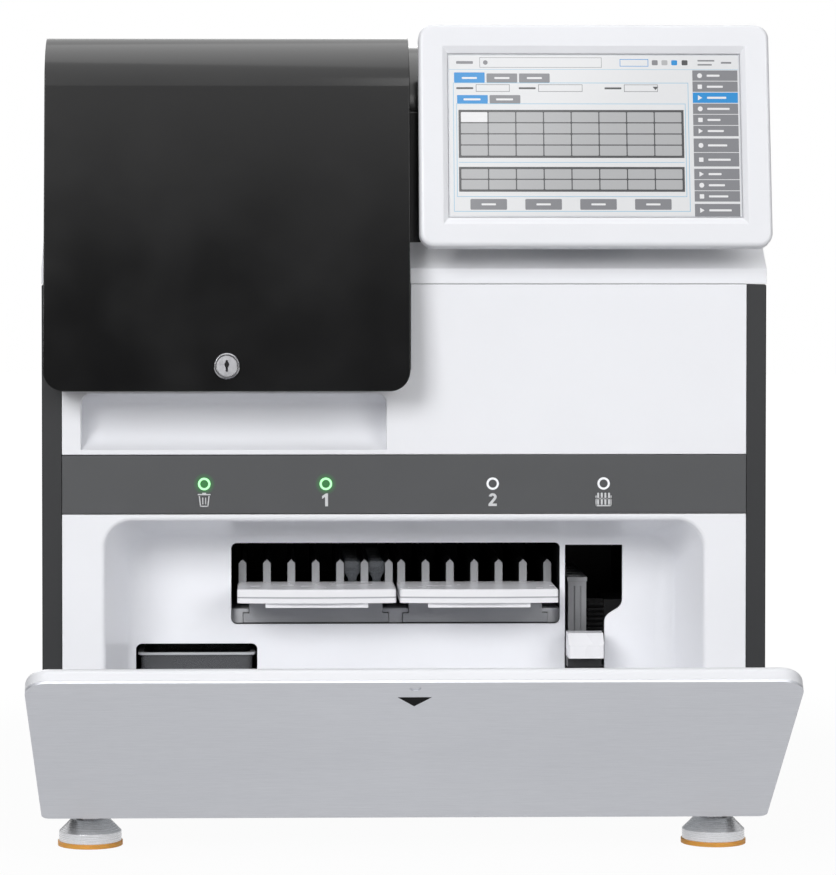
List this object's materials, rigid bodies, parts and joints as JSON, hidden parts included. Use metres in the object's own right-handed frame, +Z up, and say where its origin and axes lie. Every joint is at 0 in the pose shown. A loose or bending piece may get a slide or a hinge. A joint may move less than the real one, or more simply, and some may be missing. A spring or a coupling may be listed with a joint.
{
  "type": "immunoassay analyzer",
  "caption": "Bench-top laboratory analyzer with a fold-down door over reagent trays, a waste bin and a sample rack, a flip-up work cover and a tilting touch monitor.",
  "frame": {"origin": "on the standing surface, under the centre of the whole part's box with the door open", "axes": "+X to the user's right, +Y to the back, +Z up"},
  "size_m": [0.56, 0.8062, 0.6401],
  "materials": {
    "dark_panel": "fine satin powder coat",
    "white_shell": "satin moulded",
    "black_gloss": "high gloss",
    "band_grey": "fine matt",
    "silver_skin": "fine brushed",
    "steel": "turned",
    "foot_rubber": "matt",
    "aluminium": "machined",
    "black_sheet": "matt black",
    "smoked": "smoked clear plastic",
    "tray_white": "satin moulded",
    "comb_grey": "matt",
    "tray_grey": "matt",
    "strip_clear": "clear plastic",
    "lamp": "translucent",
    "screen": "touch glass",
    "chrome": "polished",
    "zinc": "galvanised sheet",
    "black_plastic": "matt"
  },
  "bodies": {
    "chassis": {"base_tray": "zinc", "frame": "zinc", "side_panel_left": "dark_panel", "side_panel_right": "dark_panel", "rear_panel": "dark_panel", "upper_fascia": "white_shell", "indicator_band": "band_grey", "lower_fascia": "white_shell", "lamp_rings": "lamp", "shoulder": "white_shell", "upper_shell": "black_gloss", "top_cover": "black_gloss", "bay_liner": "dark_panel", "foot_pads": "foot_rubber", "foot_bases": "steel", "foot_nuts": "steel", "tray_housing": "black_sheet", "tray_rails": "tray_grey", "rack_channel": "black_sheet", "loader_frame": "black_sheet", "barcode_reader": "black_plastic", "door_hinge_brackets": "steel", "door_hinge_pins": "steel", "cover_hinge_ears": "steel", "cover_hinge_pins": "steel", "lock_strike": "steel", "monitor_bracket": "black_sheet", "incubator": "aluminium", "carousel_motor": "black_sheet", "detector": "black_plastic", "wash_station": "white_shell", "pipettor_column": "aluminium", "power_supply": "zinc", "power_inlet": "black_plastic"},
    "door": {"door_panel": "silver_skin", "door_liner": "white_shell"},
    "cover": {"flip_cover": "black_gloss", "cover_hinge_leaves": "steel", "lock_barrel": "chrome"},
    "lock": {"lock_plug": "chrome", "lock_cam": "steel"},
    "monitor": {"monitor_bezel": "white_shell", "monitor_back": "white_shell", "monitor_screen": "screen", "monitor_yoke": "steel"},
    "tray_1": {"tray_1_carrier": "tray_grey", "tray_1_comb": "comb_grey", "tray_1_handle": "tray_white", "reagent_strips": "strip_clear"},
    "tray_2": {"tray_2_carrier": "tray_grey", "tray_2_comb": "comb_grey", "tray_2_handle": "tray_white"},
    "bin": {"waste_bin": "smoked"},
    "rack": {"rack_slide": "black_plastic", "rack_grip": "tray_white", "sample_rack": "comb_grey"},
    "carousel": {"carousel": "aluminium"},
    "pipettor_lift": {"pipettor_shaft": "steel"},
    "pipettor_arm": {"pipettor_arm": "white_shell"},
    "rocker": {"power_rocker": "black_plastic"}
  },
  "joints": [
    {"name": "door_hinge", "type": "hinge", "parent": "chassis", "child": "door", "pos_m": [0, -0.21207, 0.0385], "axis": [1, 0, 0], "range_deg": [-56.5, 0]},
    {"name": "cover_hinge", "type": "hinge", "parent": "chassis", "child": "cover", "pos_m": [-0.1369, 0.19793, 0.622], "axis": [-1, 0, 0], "range_deg": [0, 72]},
    {"name": "lock_turn", "type": "hinge", "parent": "cover", "child": "lock", "pos_m": [-0.1369, -0.23509, 0.378], "axis": [0, -0.9946, 0.1033], "range_deg": [0, 90]},
    {"name": "monitor_tilt", "type": "hinge", "parent": "chassis", "child": "monitor", "pos_m": [0.145, -0.18707, 0.553], "axis": [1, 0, 0], "range_deg": [-8, 8]},
    {"name": "tray_1_slide", "type": "slide", "parent": "chassis", "child": "tray_1", "axis": [0, -1, 0], "range_m": [0, 0.15]},
    {"name": "tray_2_slide", "type": "slide", "parent": "chassis", "child": "tray_2", "axis": [0, -1, 0], "range_m": [0, 0.15]},
    {"name": "bin_slide", "type": "slide", "parent": "chassis", "child": "bin", "axis": [0, -1, 0], "range_m": [0, 0.12]},
    {"name": "rack_slide", "type": "slide", "parent": "chassis", "child": "rack", "axis": [0, -1, 0], "range_m": [0, 0.15]},
    {"name": "carousel_spin", "type": "hinge", "parent": "chassis", "child": "carousel", "pos_m": [-0.134, -0.02607, 0.3785], "axis": [0, 0, 1], "continuous": true},
    {"name": "pipettor_raise", "type": "slide", "parent": "chassis", "child": "pipettor_lift", "axis": [0, 0, 1], "range_m": [-0.03, 0]},
    {"name": "pipettor_swing", "type": "hinge", "parent": "pipettor_lift", "child": "pipettor_arm", "pos_m": [-0.044, 0.12993, 0.535], "axis": [0, 0, 1], "range_deg": [0, 75]},
    {"name": "power_rocker", "type": "hinge", "parent": "chassis", "child": "rocker", "pos_m": [-0.1785, 0.39593, 0.09], "axis": [1, 0, 0], "range_deg": [-6, 6]}
  ]
}
